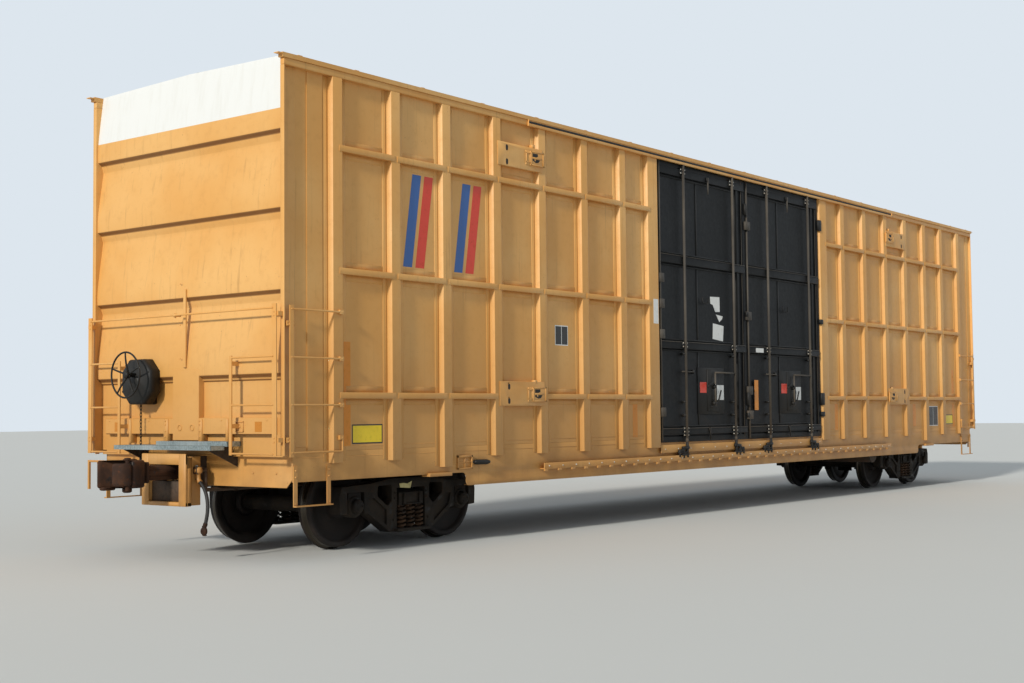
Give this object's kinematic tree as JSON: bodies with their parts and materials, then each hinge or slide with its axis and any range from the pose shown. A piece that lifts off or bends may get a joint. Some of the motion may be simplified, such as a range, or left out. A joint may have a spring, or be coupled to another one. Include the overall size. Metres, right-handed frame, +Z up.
{
  "type": "railroad boxcar",
  "caption": "Outside-post railroad boxcar with plug doors, swivelling trucks, free-turning wheelsets and swinging couplers.",
  "frame": {"origin": "under the middle of the car, on the plane that touches the lowest points of the wheel flanges", "axes": "+X along the car towards the end without the hand brake, +Y across it, +Z up"},
  "size_m": [20.7108, 3.244, 5.21],
  "materials": {
    "yellow_body_paint": "weathered semi-gloss enamel",
    "black_door_paint": "dusty satin enamel",
    "cast_truck_steel": "rusted and greasy casting",
    "spring_steel": "dusty black coil steel",
    "wheel_steel": "rolled steel, rusty with a polished tread",
    "underframe_paint": "road-dusted paint",
    "galvanised_steel": "dull galvanised",
    "hose_rubber": "dusty matt rubber",
    "floor_timber": "worn nailable floor"
  },
  "bodies": {
    "carbody": {"air_hose_a": "hose_rubber", "air_hose_b": "hose_rubber", "air_reservoir": "underframe_paint", "body_bolsters": "underframe_paint", "brake_cylinder": "underframe_paint", "centre_sill": "underframe_paint", "control_valve": "underframe_paint", "corner_posts": "yellow_body_paint", "crossbearers": "underframe_paint", "door_far_left": "black_door_paint", "door_far_right": "black_door_paint", "door_locks_far": "black_door_paint", "door_locks_near": "black_door_paint", "door_near_left": "black_door_paint", "door_near_right": "black_door_paint", "door_posts": "yellow_body_paint", "door_stops": "yellow_body_paint", "door_tracks": "yellow_body_paint", "end_ladders": "yellow_body_paint", "end_sills": "underframe_paint", "end_wall_a": "yellow_body_paint", "end_wall_b": "yellow_body_paint", "floor": "floor_timber", "gladhands": "cast_truck_steel", "hand_brake": "black_door_paint", "jacking_pads": "underframe_paint", "platforms": "galvanised_steel", "roof": "galvanised_steel", "side_ladders": "yellow_body_paint", "side_posts": "yellow_body_paint", "side_ribs": "yellow_body_paint", "side_sheets": "yellow_body_paint", "side_sills": "yellow_body_paint", "sill_steps": "yellow_body_paint", "strikers": "cast_truck_steel", "top_chords": "yellow_body_paint", "train_pipe": "underframe_paint", "uncoupling_levers": "yellow_body_paint"},
    "truck_b": {"side_frames_b": "cast_truck_steel", "truck_bolster_b": "cast_truck_steel", "springs_b": "spring_steel", "bearings_b": "cast_truck_steel", "brake_beams_b": "cast_truck_steel"},
    "truck_a": {"side_frames_a": "cast_truck_steel", "truck_bolster_a": "cast_truck_steel", "springs_a": "spring_steel", "bearings_a": "cast_truck_steel", "brake_beams_a": "cast_truck_steel"},
    "wheelset_1": {"wheels_1": "wheel_steel", "axle_1": "wheel_steel"},
    "wheelset_2": {"wheels_2": "wheel_steel", "axle_2": "wheel_steel"},
    "wheelset_3": {"wheels_3": "wheel_steel", "axle_3": "wheel_steel"},
    "wheelset_4": {"wheels_4": "wheel_steel", "axle_4": "wheel_steel"},
    "draft_b": {"coupler_b": "cast_truck_steel", "knuckle_b": "cast_truck_steel"},
    "draft_a": {"coupler_a": "cast_truck_steel", "knuckle_a": "cast_truck_steel"}
  },
  "joints": [
    {"name": "truck_b_swivel", "type": "hinge", "parent": "carbody", "child": "truck_b", "pos_m": [-7.0485, 0, 0.67], "axis": [0, 0, 1], "range_deg": [-7.5, 7.5]},
    {"name": "truck_a_swivel", "type": "hinge", "parent": "carbody", "child": "truck_a", "pos_m": [7.0485, 0, 0.67], "axis": [0, 0, 1], "range_deg": [-7.5, 7.5]},
    {"name": "wheelset_1_spin", "type": "hinge", "parent": "truck_b", "child": "wheelset_1", "pos_m": [-7.9375, 0, 0.4852], "axis": [0, 1, 0], "continuous": true},
    {"name": "wheelset_2_spin", "type": "hinge", "parent": "truck_b", "child": "wheelset_2", "pos_m": [-6.1595, 0, 0.4852], "axis": [0, 1, 0], "continuous": true},
    {"name": "wheelset_3_spin", "type": "hinge", "parent": "truck_a", "child": "wheelset_3", "pos_m": [6.1595, 0, 0.4852], "axis": [0, 1, 0], "continuous": true},
    {"name": "wheelset_4_spin", "type": "hinge", "parent": "truck_a", "child": "wheelset_4", "pos_m": [7.9375, 0, 0.4852], "axis": [0, 1, 0], "continuous": true},
    {"name": "coupler_b_swing", "type": "hinge", "parent": "carbody", "child": "draft_b", "pos_m": [-9.15, 0, 0.904], "axis": [0, 0, 1], "range_deg": [-7, 7]},
    {"name": "coupler_a_swing", "type": "hinge", "parent": "carbody", "child": "draft_a", "pos_m": [9.15, 0, 0.904], "axis": [0, 0, 1], "range_deg": [-7, 7]}
  ]
}
